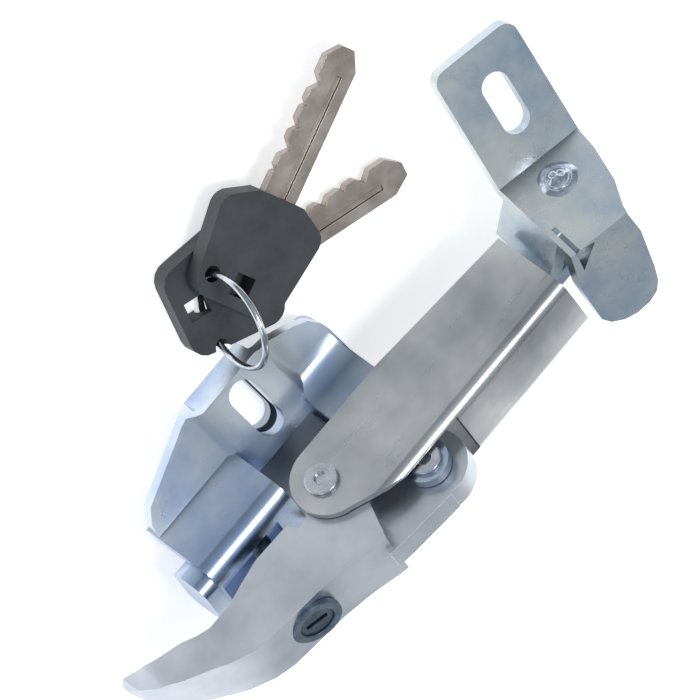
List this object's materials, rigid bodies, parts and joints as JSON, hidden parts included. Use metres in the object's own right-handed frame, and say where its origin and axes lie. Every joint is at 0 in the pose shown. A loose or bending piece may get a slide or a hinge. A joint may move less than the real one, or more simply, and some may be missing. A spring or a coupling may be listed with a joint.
{
  "type": "hood latch",
  "caption": "Sprung over-centre hood latch with a keyed locking lever, a sheet-metal link and draw hook, a catch bracket and its keys.",
  "frame": {"origin": "midway between the two mounting slots, on the mounting face", "axes": "+X along the pull, from the lever's tip to the catch; +Z out of the mounting face; +Y towards the keys"},
  "size_m": [0.1501, 0.0851, 0.0404],
  "materials": {
    "base_zinc": "blue-white zinc plate",
    "plate_zinc": "blue-white zinc plate",
    "link_zinc": "bright zinc plate",
    "catch_zinc": "blue-white zinc plate",
    "lever_cast": "satin die casting",
    "pin_steel": "turned, zinc plated",
    "rivet_steel": "peened, zinc plated",
    "stud_steel": "peened, zinc plated",
    "washer_steel": "plain",
    "rod_steel": "drawn",
    "spring_steel": "spring wire",
    "nut_steel": "zinc plated",
    "hook_steel": "zinc plated",
    "bush_plastic": "moulded nylon",
    "barrel_zinc": "satin",
    "plug_zinc": "satin",
    "wafer_brass": "stamped",
    "cam_steel": "zinc plated",
    "blade_nickel": "nickel plated",
    "bow_plastic": "fine moulded grain",
    "ring_steel": "bright"
  },
  "bodies": {
    "base": {"base_bracket": "base_zinc", "back_plate": "plate_zinc", "pivot_pin": "pin_steel"},
    "lever": {"lever_body": "lever_cast", "lock_barrel": "barrel_zinc", "pivot_washers": "washer_steel", "link_rivet": "rivet_steel", "link_washers": "washer_steel"},
    "link": {"link_channel": "link_zinc", "spring_seat": "link_zinc", "guide_bush": "bush_plastic", "draw_spring": "spring_steel"},
    "hook": {"draw_rod": "rod_steel", "spring_collar": "washer_steel", "rod_nut": "nut_steel", "draw_hook": "hook_steel"},
    "catch": {"catch_bracket": "catch_zinc", "catch_stud": "stud_steel"},
    "lock": {"lock_plug": "plug_zinc", "lock_wafers": "wafer_brass", "lock_clip": "spring_steel", "lock_cam": "cam_steel", "cam_screw": "nut_steel"},
    "ring": {"key_ring": "ring_steel"},
    "key_1": {"key_blade_1": "blade_nickel", "key_bow_1": "bow_plastic"},
    "key_2": {"key_blade_2": "blade_nickel", "key_bow_2": "bow_plastic"}
  },
  "joints": [
    {"name": "lever_swing", "type": "hinge", "parent": "base", "child": "lever", "pos_m": [0.0124, -0.01283, 0.03179], "axis": [0, 0.866, 0.5], "range_deg": [0, 120]},
    {"name": "link_swing", "type": "hinge", "parent": "lever", "child": "link", "pos_m": [-0.0036, -0.00623, 0.02036], "axis": [0, 0.866, 0.5], "range_deg": [-120, 0]},
    {"name": "hook_draw", "type": "slide", "parent": "link", "child": "hook", "axis": [1, 0, 0], "range_m": [0, 0.006], "stiffness_N_per_m": 2000, "springref_m": -0.004, "deforming": ["draw_spring"]},
    {"name": "catch_off", "type": "slide", "parent": "hook", "child": "catch", "axis": [0.1919, 0.8445, 0.5], "range_m": [0, 0.025]},
    {"name": "lock_turn", "type": "hinge", "parent": "lever", "child": "lock", "pos_m": [-0.0261, -0.01388, 0.03361], "axis": [-0.2588, -0.483, 0.8365], "range_deg": [0, 90]},
    {"name": "ring_lift", "type": "slide", "parent": "base", "child": "ring", "axis": [0, 0, 1], "range_m": [0, 0.04]},
    {"name": "key_1_swing", "type": "hinge", "parent": "ring", "child": "key_1", "pos_m": [0.0066, 0.0375, 0], "axis": [0, 0, 1], "range_deg": [-4, 4]},
    {"name": "key_2_swing", "type": "hinge", "parent": "ring", "child": "key_2", "pos_m": [0.0152, 0.0355, 0], "axis": [0, 0, 1], "range_deg": [-4, 4]}
  ],
  "couplings": [
    {"joint": "link_swing", "follows": "lever_swing", "ratio": -1}
  ]
}
